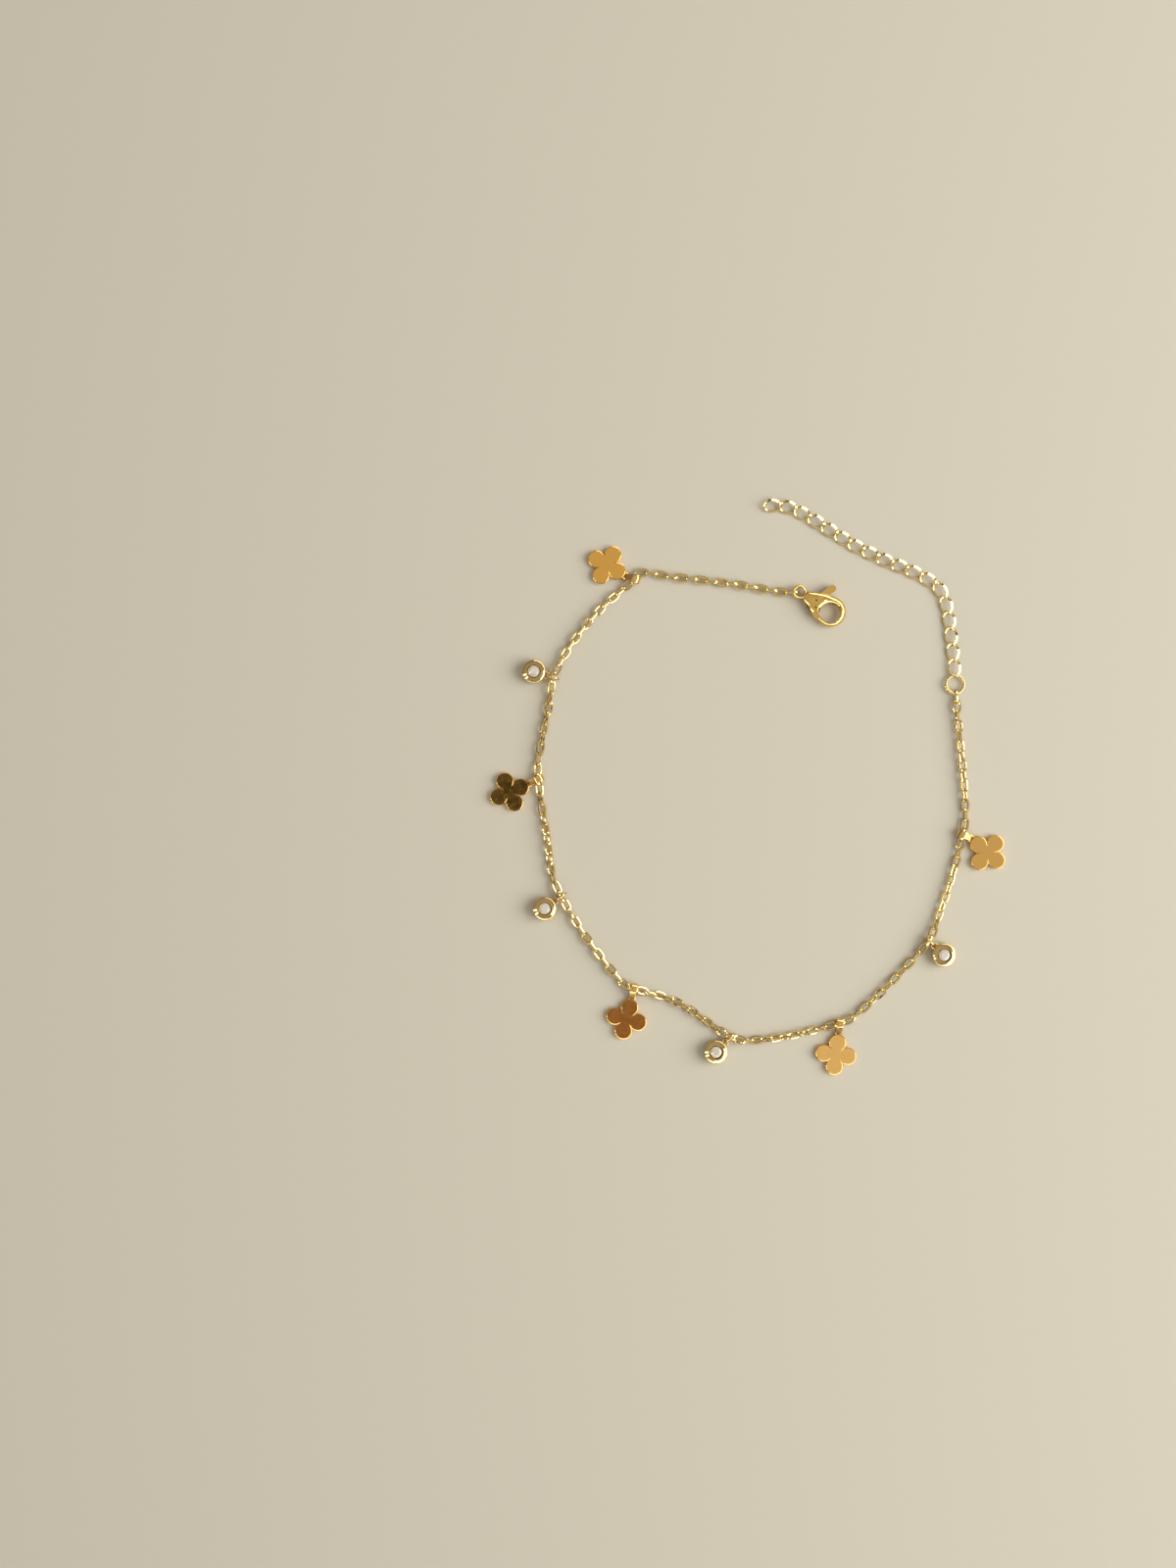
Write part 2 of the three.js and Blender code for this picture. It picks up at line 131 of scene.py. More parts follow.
class RingSizes(bpy.types.PropertyGroup):
    joining_x: length("Joining ring x", "Middle of the ring between chain and extender", 34.64)
    joining_y: length("Joining ring y", "Middle of the ring between chain and extender", 17.18)
    joining_radius: length("Joining radius", "Middle radius of the joining ring", 1.5)
    joining_wire: length("Joining wire", "Wire of the joining ring", 0.55)
    joining_lift: length("Joining height", "Height of the joining ring's middle", 0.66)
    hanging_radius: length("Hanging radius", "Middle radius of a drop's ring", 1.03)
    hanging_wire: length("Hanging wire", "Wire of a drop's ring", 0.42)
    hanging_out: length("Hanging offset", "Distance of a drop's ring from the chain's middle", 0.1)
    hanging_lift: length("Hanging height", "Height of a drop ring's middle", 1.24)
    opening: angle("Ring opening", "Gap left where a ring's wire ends meet", 3)


class CloverSizes(bpy.types.PropertyGroup):
    lobe_radius: length("Lobe radius", "Radius of one leaf of the clover", 1.43)
    lobe_offset: length("Lobe offset", "Distance of a leaf's middle from the clover's middle", 1.98)
    thickness: length("Thickness", "Thickness of the clover plate", 1.0)
    edge: length("Edge", "Width of the bevelled edge", 0.11)
    ear_radius: length("Ear radius", "Middle radius of the ear", 0.45)
    ear_wire: length("Ear wire", "Wire of the ear", 0.3)
    ear_beyond: length("Ear offset", "Distance of the ear's middle beyond the leaf's tip", 0.2)
    ear_lift: length("Ear height", "Height of the ear's middle", 0.7)
    bail_reach: length("Bail reach", "From the chain's middle to the ear's wire", 1.15)
    bail_big: length("Bail round the chain", "Outer radius of the bail round the chain", 0.97)
    bail_small: length("Bail round the ear", "Outer radius of the bail round the ear", 0.6)
    bail_strap: length("Strap", "Thickness of the bail's strap", 0.18)
    bail_wide: length("Strap width", "Width of the strap round the chain", 1.15)
    bail_narrow: length("Strap width at the ear", "Width of the strap round the ear", 0.85)


class DropSizes(bpy.types.PropertyGroup):
    reach: length("Reach", "From the chain's middle to the drop's middle", 3.4)
    radius: length("Radius", "Outer radius of the bezel", 2.0)
    height: length("Height", "Height of the bezel", 2.3)
    foot: length("Foot radius", "Radius of the bezel's flat underside", 1.3)
    crest: length("Crest radius", "Radius of the bezel's highest circle", 1.24)
    seat: length("Seat radius", "Radius of the wall round the stone", 1.1)
    floor: length("Seat floor", "Height of the seat's floor", 1.42)
    ear_radius: length("Ear radius", "Middle radius of the drop's ear", 0.5)
    ear_wire: length("Ear wire", "Wire of the drop's ear", 0.32)
    ear_lift: length("Ear height", "Height of the drop's ear", 1.15)
    ear_reach: length("Ear reach", "From the chain's middle to the near side of the ear", 0.79)
    stone: length("Stone radius", "Radius of the stone's girdle", 0.96)


class ClaspSizes(bpy.types.PropertyGroup):
    x: length("Clasp x", "Middle of the hook", 13.75)
    y: length("Clasp y", "Middle of the hook", 29.3)
    turn: angle("Turn", "Direction of the clasp", -32.5)
    thickness: length("Thickness", "Thickness of the clasp's body", 2.2)
    slot: length("Slot", "Width of the slot between the cheeks", 0.98)
    eye_from_hook: length("Eye distance", "From the hook's middle to the eye's middle", 6.14)
    eye_radius: length("Eye radius", "Middle radius of the eye", 0.96)
    eye_wire: length("Eye wire", "Width of the eye's wire", 0.48)
    eye_thick: length("Eye thickness", "Thickness of the eye", 0.9)
    lever_thick: length("Lever thickness", "Thickness of the lever", 0.9)
    rivet_radius: length("Rivet radius", "Radius of the rivet", 0.34)
    rivet_length: length("Rivet length", "Length of the rivet", 1.98)
    rivet_play: length("Rivet play", "Room between rivet and bore", 0.07)


class Finishes(bpy.types.PropertyGroup):
    chain: colour("Chain", "Plating of the chains", (0.80, 0.63, 0.29))
    plate: colour("Clovers", "Plating of the clovers", (0.80, 0.465, 0.128))
    bail: colour("Bails", "Plating of the bails", (0.78, 0.53, 0.21))
    bezel: colour("Bezels", "Plating of the bezels and their rings", (0.72, 0.54, 0.25))
    clasp: colour("Clasp", "Plating of the clasp", (0.765, 0.51, 0.17))
    crystal: colour("Crystal", "Tint of the stones", (1.0, 0.97, 0.87))
    floor: colour("Floor", "The surface below", (0.62, 0.59, 0.50))
    light: colour("Light", "Tint of the window light", (1.0, 0.98, 0.945))
    room: colour("Room", "Tint of the light from all round", (1.0, 0.93, 0.82))


SETTINGS = {
    "anklet_chain": ChainSizes,
    "anklet_rings": RingSizes,
    "anklet_clover": CloverSizes,
    "anklet_drop": DropSizes,
    "anklet_clasp": ClaspSizes,
    "anklet_finish": Finishes,
}


# ---------------- modelling helpers
def mm(*values):
    return [value * MM for value in values]


def only(*pieces):
    """Selects these pieces and nothing else, in object mode, and gives the first one back."""
    if bpy.context.mode != "OBJECT":
        bpy.ops.object.mode_set(mode="OBJECT")
    bpy.ops.object.select_all(action="DESELECT")
    for piece in pieces:
        piece.select_set(True)
    if pieces:
        bpy.context.view_layer.objects.active = pieces[0]
        return pieces[0]


def settle(piece, place=None):
    """Puts the piece's place into its mesh, so that its object is left at the origin."""
    only(piece)
    if place is not None:
        piece.matrix_world = place
    bpy.ops.object.transform_apply(location=True, rotation=True, scale=True)
    return piece


def shape(name):
    """Names the primitive just added and opens it in edit mode."""
    piece = bpy.context.object
    piece.name = piece.data.name = name
    settle(piece)
    bpy.ops.object.mode_set(mode="EDIT")
    return piece


def move_corners(piece, moved):
    """Moves every corner of a piece that is open in edit mode to where moved puts it."""
    form = bmesh.from_edit_mesh(piece.data)
    for corner in form.verts:
        corner.co = moved(corner.co)
    bmesh.update_edit_mesh(piece.data)


def choose(kind, test=None):
    """Selects the vertices, edges or faces whose corners all pass the test."""
    bpy.ops.mesh.select_mode(type=kind)
    if test is None:
        bpy.ops.mesh.select_all(action="SELECT")
        return
    bpy.ops.mesh.select_all(action="DESELECT")
    mesh = bpy.context.object.data
    form = bmesh.from_edit_mesh(mesh)
    for part in {"VERT": form.verts, "EDGE": form.edges, "FACE": form.faces}[kind]:
        corners = [part] if kind == "VERT" else part.verts
        if all(test(corner.co) for corner in corners):
            part.select_set(True)
    form.select_flush_mode()
    bmesh.update_edit_mesh(mesh)


def circle(corners, radius, place=(0, 0, 0), turn=(0, 0, 0), fill="NGON"):
    bpy.ops.mesh.primitive_circle_add(vertices=corners, radius=radius, fill_type=fill,
                                      location=place, rotation=turn)


def torus(around, section, radius, wire, place=(0, 0, 0)):
    bpy.ops.mesh.primitive_torus_add(major_segments=around, minor_segments=section,
                                     major_radius=radius, minor_radius=wire / 2, location=place)


def cylinder(corners, radius, depth, place, **more):
    bpy.ops.mesh.primitive_cylinder_add(vertices=corners, radius=radius, depth=depth,
                                        location=place, **more)
    return bpy.context.object


def extrude(move):
    bpy.ops.mesh.extrude_region_move(TRANSFORM_OT_translate={"value": move})


def scale(by, about):
    bpy.ops.transform.resize(value=by, center_override=about)


def face_outwards(merge=True):
    choose("VERT")
    if merge:
        bpy.ops.mesh.remove_doubles(threshold=0.0005 * MM)
    bpy.ops.mesh.normals_make_consistent(inside=False)


def modify(piece, kind, **values):
    """Adds a modifier with these values and applies it."""
    only(piece)
    modifier = piece.modifiers.new(kind.title(), kind)
    for name, value in values.items():
        setattr(modifier, name, value)
    bpy.ops.object.modifier_apply(modifier=modifier.name)


def boolean(piece, tool, operation="DIFFERENCE"):
    modify(piece, "BOOLEAN", operation=operation, solver="EXACT", object=tool)
    bpy.data.objects.remove(tool)


def bevel(piece, width, sharper_than, segments=2):
    """Rounds the edges that are sharper than this many degrees, by a width in millimetres."""
    modify(piece, "BEVEL", width=width * MM, segments=segments, limit_method="ANGLE",
           angle_limit=math.radians(sharper_than))


def smooth(piece, degrees):
    """Shades the piece smooth, with flat faces kept flat up to their rounded edges."""
    only(piece)
    bpy.ops.object.shade_smooth_by_angle(angle=math.radians(degrees))
    modify(piece, "WEIGHTED_NORMAL", keep_sharp=True)


def copy_of(master, name):
    twin = master.copy()
    twin.data = master.data.copy()
    twin.name = twin.data.name = name
    bpy.context.collection.objects.link(twin)
    return twin


def joined_copies(master, name, places):
    """One piece made of a copy of the master at each place."""
    copies = [copy_of(master, name) for _ in places]
    for twin, place in zip(copies, places):
        twin.matrix_world = place
    only(*copies)
    bpy.ops.object.transform_apply(location=True, rotation=True, scale=True)
    bpy.ops.object.join()
    run = bpy.context.object
    run.name = run.data.name = name
    bpy.data.objects.remove(master)
    return run


def finished(piece, finish, body, node):
    """Gives the piece its finish and the body that it rides on, and hides the part that it stands
    for.
    """
    piece.data.materials.clear()
    piece.data.materials.append(finish)
    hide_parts(node)
    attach(piece, body)


def hang(master, name, places, smooth_to, finish, node):
    """A finished copy of the master at each place, numbered along the chain."""
    for number, place in enumerate(places, 1):
        twin = settle(copy_of(master, f"{name}_{number}"), place)
        if smooth_to:
            smooth(twin, smooth_to)
        finished(twin, finish, "anklet", f"{node}_{number}")
    bpy.data.objects.remove(master)


def turned(x, y, degrees, z=0.0):
    """The place of something at x, y in the plan, in metres, turned about the vertical."""
    turn = Matrix.Rotation(math.radians(degrees), 4, "Z")
    return Matrix.Translation(SHIFT + Vector((x, y, z))) @ turn


def plate(name, outline, low, thickness):
    """A flat plate with the given outline, from height low upwards."""
    circle(len(outline), MM)
    piece = shape(name)
    corners = iter(outline)
    move_corners(piece, lambda _: (*mm(*next(corners)), low))
    choose("FACE")
    extrude((0, 0, thickness))
    face_outwards()
    return only(piece)


# ---------------- routes
class Route:
    """A centripetal curve through points, measured along its length."""

    STEPS = 24

    def __init__(self, points):
        first, last = 2 * points[0] - points[1], 2 * points[-1] - points[-2]
        ends = [first, *points, last]
        self.samples, self.lengths, self.knots = [points[0].copy()], [0.0], [0.0]
        for before, start, stop, after in zip(ends, ends[1:], ends[2:], ends[3:]):
            pairs = (before, start), (start, stop), (stop, after)
            gaps = [math.sqrt((b - a).length) for a, b in pairs]
            leave = self.slope(before, start, stop, gaps[0], gaps[1]) * gaps[1]
            arrive = self.slope(start, stop, after, gaps[1], gaps[2]) * gaps[1]
            for step in range(1, self.STEPS + 1):
                t = step / self.STEPS
                point = (start * (2 * t**3 - 3 * t**2 + 1) + leave * (t**3 - 2 * t**2 + t)
                         + stop * (3 * t**2 - 2 * t**3) + arrive * (t**3 - t**2))
                self.lengths.append(self.lengths[-1] + (point - self.samples[-1]).length)
                self.samples.append(point)
            self.knots.append(self.lengths[-1])

    @staticmethod
    def slope(a, b, c, gap_ab, gap_bc):
        return (b - a) / gap_ab - (c - a) / (gap_ab + gap_bc) + (c - b) / gap_bc

    def at(self, along):
        along = min(max(along, 0.0), self.lengths[-1])
        index = next(i for i, reached in enumerate(self.lengths) if reached >= along - TINY)
        if index == 0:
            return self.samples[0]
        share = (along - self.lengths[index - 1]) / (self.lengths[index] - self.lengths[index - 1])
        return self.samples[index - 1].lerp(self.samples[index], share)

    def place(self, along, span, roll, stretch=1.0):
        """A link's place: x along the route over the span, rolled about it from lying flat."""
        ahead = (self.at(along + span / 2) - self.at(along - span / 2)).normalized()
        side = Vector((0, 0, 1)).cross(ahead).normalized()
        turn = Matrix((ahead, side, ahead.cross(side))).transposed().to_4x4()
        return (Matrix.Translation(self.at(along)) @ turn @ Matrix.Rotation(roll, 4, "X")
                @ Matrix.Diagonal((stretch, 1, 1, 1)))


def plan_point(x, y, z):
    return SHIFT + Vector((x * MM, y * MM, z))


def clasp_place(clasp):
    return turned(clasp.x, clasp.y, math.degrees(clasp.turn))


def drop_middles(drop):
    """The places of the drops' middles, each turned the way that its drop lies."""
    out = Matrix.Translation((drop.reach, 0, 0))
    return [turned(x * MM, y * MM, turn) @ out for x, y, turn in DROP_PLACES]


def oval_link(name, long, wide, wire, around, section, roundness):
    """A link lying flat, long in x, from an oval (roundness 1) to straight sides (0).

    The wire's section has corners at (outwards, upwards), in shares of half the thickness."""
    radius = (wide - wire) / 2

    def drawn_out(corner):
        outwards = corner.xy.normalized()
        turn = math.atan2(corner.z, corner.xy.length - radius)
        out, up = section[round(turn / (2 * math.pi) * len(section)) % len(section)]
        flat = outwards * (radius + out * wire / 2)
        flat.x += math.copysign(abs(outwards.x) ** roundness * (long - wide) / 2, outwards.x)
        return *flat, up * wire / 2

    torus(around, len(section), radius, wire)
    link = shape(name)
    move_corners(link, drawn_out)
    return only(link)


def open_ring(name, radius, wire, opening, steps, seam):
    """A ring of round wire lying flat, with a fine gap where its ends meet, at the seam's angle."""
    circle(10, wire / 2, (radius, 0, 0), (math.pi / 2, 0, 0))
    ring = shape(name)
    choose("VERT")
    bpy.ops.mesh.spin(steps=steps, angle=2 * math.pi - opening, center=(0, 0, 0), axis=(0, 0, 1))
    face_outwards(merge=False)
    return settle(ring, Matrix.Rotation(math.radians(seam), 4, "Z"))


# ---------------- finishes
# Each plating's name and roughness, and the strength and size in millimetres of its grain
PLATINGS = {
    "chain": ("pale_gold_plating", 0.08, 0.12, 0.12),
    "plate": ("clover_gold_plating", 0.13, 0.14, 0.06),
    "bail": ("bail_gold_plating", 0.12, 0.2, 0.1),
    "bezel": ("bezel_gold_plating", 0.07, 0.1, 0.15),
    "clasp": ("clasp_gold_plating", 0.13, 0.2, 0.12),
}
DEEPER = (0.97, 0.93, 0.86)         # the tint's shares where the plating is deepest in colour
CLOUDS, GLOSS_CLOUDS = 2.2, 0.7     # sizes of the clouds in colour and in gloss, in millimetres


def new_finish(name):
    """A new material with its nodes, its links and its surface shader."""
    finish = bpy.data.materials.new(name)
    finish.use_nodes = True
    tree = finish.node_tree
    return finish, tree.nodes, tree.links, tree.nodes["Principled BSDF"]


def dial(node, values):
    """Sets a node's inputs."""
    for name, value in values.items():
        node.inputs[name].default_value = value


def noise(nodes, links, place, size, detail):
    """Clouds of a size in millimetres, at the places that the piece's own axes give."""
    texture = nodes.new("ShaderNodeTexNoise")
    dial(texture, {"Scale": 1 / (size * MM), "Detail": detail})
    links.new(place.outputs["Object"], texture.inputs["Vector"])
    return texture.outputs["Fac"]


def plating(kind):
    """Polished gold plating: cloudy colour and gloss with a fine grain that the polish left."""
    name, roughness, grain, grain_size = PLATINGS[kind]
    if name in bpy.data.materials:
        return bpy.data.materials[name]
    tint = getattr(bpy.context.scene.anklet_finish, kind)
    finish, nodes, links, surface = new_finish(name)
    dial(surface, {"Metallic": 1.0})
    place = nodes.new("ShaderNodeTexCoord")
    blend = nodes.new("ShaderNodeMix")
    blend.data_type = "RGBA"
    blend.inputs["A"].default_value = (*tint, 1)
    blend.inputs["B"].default_value = (*(value * share for value, share in zip(tint, DEEPER)), 1)
    links.new(noise(nodes, links, place, CLOUDS, 3), blend.inputs["Factor"])
    links.new(blend.outputs["Result"], surface.inputs["Base Color"])
    gloss = nodes.new("ShaderNodeMapRange")
    dial(gloss, {"From Min": 0.3, "From Max": 0.7,
                 "To Min": roughness * 0.8, "To Max": roughness * 1.25})
    links.new(noise(nodes, links, place, GLOSS_CLOUDS, 4), gloss.inputs["Value"])
    links.new(gloss.outputs["Result"], surface.inputs["Roughness"])
    bump = nodes.new("ShaderNodeBump")
    dial(bump, {"Strength": grain, "Distance": 0.01 * MM})
    links.new(noise(nodes, links, place, grain_size, 2), bump.inputs["Height"])
    links.new(bump.outputs["Normal"], surface.inputs["Normal"])
    return finish


def crystal_finish():
    """Clear stone, half see-through, with a slight haze here and there."""
    finish, nodes, links, surface = new_finish("clear_crystal")
    dial(surface, {"Base Color": (*bpy.context.scene.anklet_finish.crystal, 1),
                   "Transmission Weight": 0.5, "IOR": 2.0})
    place = nodes.new("ShaderNodeTexCoord")
    haze = nodes.new("ShaderNodeMapRange")
    dial(haze, {"To Min": 0.0, "To Max": 0.06})
    links.new(noise(nodes, links, place, 0.8, 2), haze.inputs["Value"])
    links.new(haze.outputs["Result"], surface.inputs["Roughness"])
    return finish


# ---------------- pieces
class ANKLET_OT_cable_links(bpy.types.Operator):
    """Oval links of the cable chain, each turned a quarter from the last"""
    bl_idname = "anklet.cable_links"
    bl_label = "Cable links"

    EYE_LIFT, JOIN_LIFT = 1.0, 0.9      # heights of the chain's ends, in millimetres
    FIRST, LAST = 1.35, 2.05            # from the chain's ends to its end links' middles
    STRAY = 7                           # how far a link may turn by chance, in degrees
    AROUND, CORNERS = 18, 8             # faces along a link's wire and round it
    ROUNDNESS = 0.5
    TWIST_POWER = 0.7                   # how soon the links of a stretch take up its twist

    def execute(self, context):
        scene = context.scene
        chain, clasp, rings = scene.anklet_chain, scene.anklet_clasp, scene.anklet_rings
        eye = clasp_place(clasp) @ Vector((-clasp.eye_from_hook, 0, 0))
        hangers = []
        for clover, drop in zip(CLOVER_PLACES, [*DROP_PLACES, None]):
            hangers.append((*clover[:2], chain.lift_in_bail))
            if drop:
                hangers.append((*drop[:2], chain.lift_in_ring))
        points = [Vector((eye.x, eye.y, self.EYE_LIFT * MM))]
        hang_knots = []
        for stretch, hanger in zip(CABLE_STRETCHES, [*hangers, None]):
            points += [plan_point(x, y, chain.lift) for x, y in stretch]
            if hanger:
                points.append(plan_point(*hanger))
                hang_knots.append(len(points) - 1)
        points.append(plan_point(rings.joining_x / MM, rings.joining_y / MM, self.JOIN_LIFT * MM))
        route = Route(points)
        stops = [self.FIRST * MM, *(route.knots[k] for k in hang_knots),
                 route.knots[-1] - self.LAST * MM]
        chance = random.Random(5)
        places = []
        for start, stop, twist in zip(stops, stops[1:], STRETCH_TWISTS):
            count = 2 * round((stop - start) / (2 * chain.pitch))
            pitch = (stop - start) / count
            # The next stretch starts with this one's last link, except at the end of the chain
            for index in range(count + (stop == stops[-1])):
                share = index / count
                roll = math.pi / 2 if index % 2 == 0 else 0.0
                if 0 < share < 1:
                    roll -= math.radians(twist * math.sin(math.pi * share) ** self.TWIST_POWER)
                    roll += math.radians(chance.uniform(-self.STRAY, self.STRAY))
                places.append(route.place(start + index * pitch, pitch, roll, pitch / chain.pitch))
        corner = 2 * math.pi / self.CORNERS
        section = [(math.cos(corner * step), math.sin(corner * step))
                   for step in range(self.CORNERS)]
        link = oval_link("cable_link", chain.link_length, chain.link_width, chain.link_wire,
                         self.AROUND, section, self.ROUNDNESS)
        run = joined_copies(link, "cable_links", places)
        smooth(run, 30)
        finished(run, plating("chain"), "anklet", "cable_chain")
        return {"FINISHED"}


class ANKLET_OT_extender_links(bpy.types.Operator):
    """Twisted curb links of the extender chain"""
    bl_idname = "anklet.extender_links"
    bl_label = "Extender links"

    # The wire's section: a ridge near the inner side and a broad flat that slopes outwards from it
    SECTION = [(0.95, -0.7), (-0.2, 0.95), (-0.9, 0.5), (-1.0, 0.0), (-0.75, -0.6), (-0.2, -1.0),
               (0.55, -1.0)]
    AROUND = 28                         # faces along a link's wire
    FIRST, FIRST_RISE = 2.78, 0.18      # how far along and up the first link lies from the ring
    LEAN, STRAY = -24, 4                # how far each link leans over, and by chance, in degrees
    TWIST_POWER = 2.5                   # how much of the twist is near the link's ends

    def execute(self, context):
        chain, rings = context.scene.anklet_chain, context.scene.anklet_rings
        ring = plan_point(rings.joining_x / MM, rings.joining_y / MM, chain.curb_lift)
        route = Route([ring] + [plan_point(x, y, chain.curb_lift) for x, y in EXTENDER_ROUTE])
        first = self.FIRST * MM
        last = route.knots[-1] - chain.curb_length / 2
        pitch = (last - first) / (chain.curb_count - 1)
        link = oval_link("curb_link", chain.curb_length, chain.curb_width, chain.curb_wire,
                         self.AROUND, self.SECTION, 1.0)
        self.twist(link, chain)
        chance = random.Random(11)
        places = []
        for index in range(chain.curb_count):
            roll = math.radians(self.LEAN + chance.uniform(-self.STRAY, self.STRAY))
            rise = Matrix.Translation((0, 0, self.FIRST_RISE * MM if index == 0 else 0))
            places.append(rise @ route.place(first + index * pitch, pitch, roll))
        run = joined_copies(link, "extender_links", places)
        smooth(run, 25)
        finished(run, plating("chain"), "anklet", "extender_chain")
        return {"FINISHED"}

    def twist(self, link, chain):
        """Turns the ends of a link against each other, most of all near the ends."""
        def turned_over(corner):
            share = corner.x / (chain.curb_length / 2)
            turn = chain.curb_twist / 2 * math.copysign(abs(share) ** self.TWIST_POWER, share)
            return Matrix.Rotation(turn, 3, "X") @ corner

        bpy.ops.object.mode_set(mode="EDIT")
        move_corners(link, turned_over)
        only(link)


class ANKLET_OT_joining_ring(bpy.types.Operator):
    """Ring between the cable chain and the extender"""
    bl_idname = "anklet.joining_ring"
    bl_label = "Joining ring"

    STEPS, SEAM = 48, 150               # faces round the ring, and where its ends meet, in degrees

    def execute(self, context):
        rings = context.scene.anklet_rings
        ring = open_ring("joining_ring", rings.joining_radius, rings.joining_wire, rings.opening,
                         self.STEPS, self.SEAM)
        settle(ring, turned(rings.joining_x, rings.joining_y, 0, rings.joining_lift))
        smooth(ring, 50)
        finished(ring, plating("chain"), "anklet", "connector_ring")
        return {"FINISHED"}


class ANKLET_OT_hanging_rings(bpy.types.Operator):
    """Small upright ring that holds each drop on the chain"""
    bl_idname = "anklet.hanging_rings"
    bl_label = "Hanging rings"

    STEPS, SEAM = 40, 215               # faces round the ring, and where its ends meet, in degrees

    def execute(self, context):
        rings = context.scene.anklet_rings
        ring = open_ring("ring_model", rings.hanging_radius, rings.hanging_wire, rings.opening,
                         self.STEPS, self.SEAM)
        upright = (Matrix.Translation((rings.hanging_out, 0, rings.hanging_lift))
                   @ Matrix.Rotation(math.pi / 2, 4, "X"))
        places = [turned(x * MM, y * MM, turn) @ upright for x, y, turn in DROP_PLACES]
        hang(ring, "hanging_ring", places, 50, plating("bezel"), "drop_ring")
        return {"FINISHED"}


class ANKLET_OT_clovers(bpy.types.Operator):
    """Flat four-leaf plates, each with a wire ear"""
    bl_idname = "anklet.clovers"
    bl_label = "Clovers"

    def execute(self, context):
        clover = context.scene.anklet_clover
        tip = clover.lobe_offset + clover.lobe_radius + clover.ear_beyond
        leaf = self.model(clover, tip)
        out = Matrix.Translation((clover.bail_reach + clover.ear_radius, 0, 0))
        back = Matrix.Translation((-tip, 0, 0))
        places = [turned(x * MM, y * MM, bail_turn) @ out
                  @ Matrix.Rotation(math.radians(ear_turn - bail_turn), 4, "Z") @ back
                  for x, y, bail_turn, ear_turn in CLOVER_PLACES]
        hang(leaf, "clover_leaf", places, 16, plating("plate"), "clover")
        return {"FINISHED"}

    def model(self, clover, tip):
        """A leaf cut to its quarter, turned round four times and thickened, with its ear."""
        reach = clover.lobe_offset / math.sqrt(2)
        half = math.sqrt(0.5)
        circle(56, clover.lobe_radius, (clover.lobe_offset, 0, 0), fill="NOTHING")
        leaf = shape("clover_model")
        for side in (1, -1):
            choose("VERT")
            bpy.ops.mesh.bisect(plane_co=(0, 0, 0), plane_no=(-half, side * half, 0),
                                clear_outer=True, threshold=TINY)
        choose("VERT", lambda p: p.xy.length < reach)
        bpy.ops.mesh.delete(type="VERT")
        choose("VERT")
        for _ in range(3):
            bpy.ops.mesh.duplicate()
            bpy.ops.transform.rotate(value=math.pi / 2, orient_axis="Z",
                                     center_override=(0, 0, 0))
        choose("VERT")
        bpy.ops.mesh.remove_doubles(threshold=0.002 * MM)
        bpy.ops.mesh.edge_face_add()
        bpy.ops.transform.translate(value=(0, 0, clover.edge))
        choose("FACE")
        extrude((0, 0, clover.thickness - 2 * clover.edge))
        face_outwards()
        for side in (1, -1):
            choose("FACE", lambda p: (p.z - clover.thickness / 2) * side > clover.thickness / 4)
            for inward, outward in ((0.35, 0.65), (0.65, 0.35)):
                bpy.ops.mesh.inset(thickness=inward * clover.edge, depth=outward * clover.edge)
        torus(32, 10, clover.ear_radius, clover.ear_wire, (tip, 0, clover.ear_lift))
        return only(leaf)


class ANKLET_OT_bails(bpy.types.Operator):
    """Tapered straps that hold the clovers on the chain"""
    bl_idname = "anklet.bails"
    bl_label = "Bails"

    def execute(self, context):
        clover, chain = context.scene.anklet_clover, context.scene.anklet_chain
        strap = None
        for radius, wide, place in (
                (clover.bail_big, clover.bail_wide, (0, 0, chain.lift_in_bail)),
                (clover.bail_small, clover.bail_narrow, (clover.bail_reach, 0, clover.ear_lift))):
            cylinder(44, radius, wide, place, end_fill_type="NOTHING", rotation=(math.pi / 2, 0, 0))
            strap = strap or shape("bail_model")
        choose("VERT")
        bpy.ops.mesh.convex_hull(use_existing_faces=False, join_triangles=True)
        for side in (1, -1):
            choose("FACE", lambda p: p.y * side > 0)
            bpy.ops.mesh.delete(type="FACE")
        choose("VERT")
        bpy.ops.mesh.delete_loose()
        face_outwards()
        modify(strap, "SOLIDIFY", thickness=clover.bail_strap, offset=-1.0)
        bevel(strap, 0.05, 40)
        places = [turned(x * MM, y * MM, bail_turn) for x, y, bail_turn, _ in CLOVER_PLACES]
        hang(strap, "bail_strap", places, 40, plating("bail"), "clover_bail")
        return {"FINISHED"}


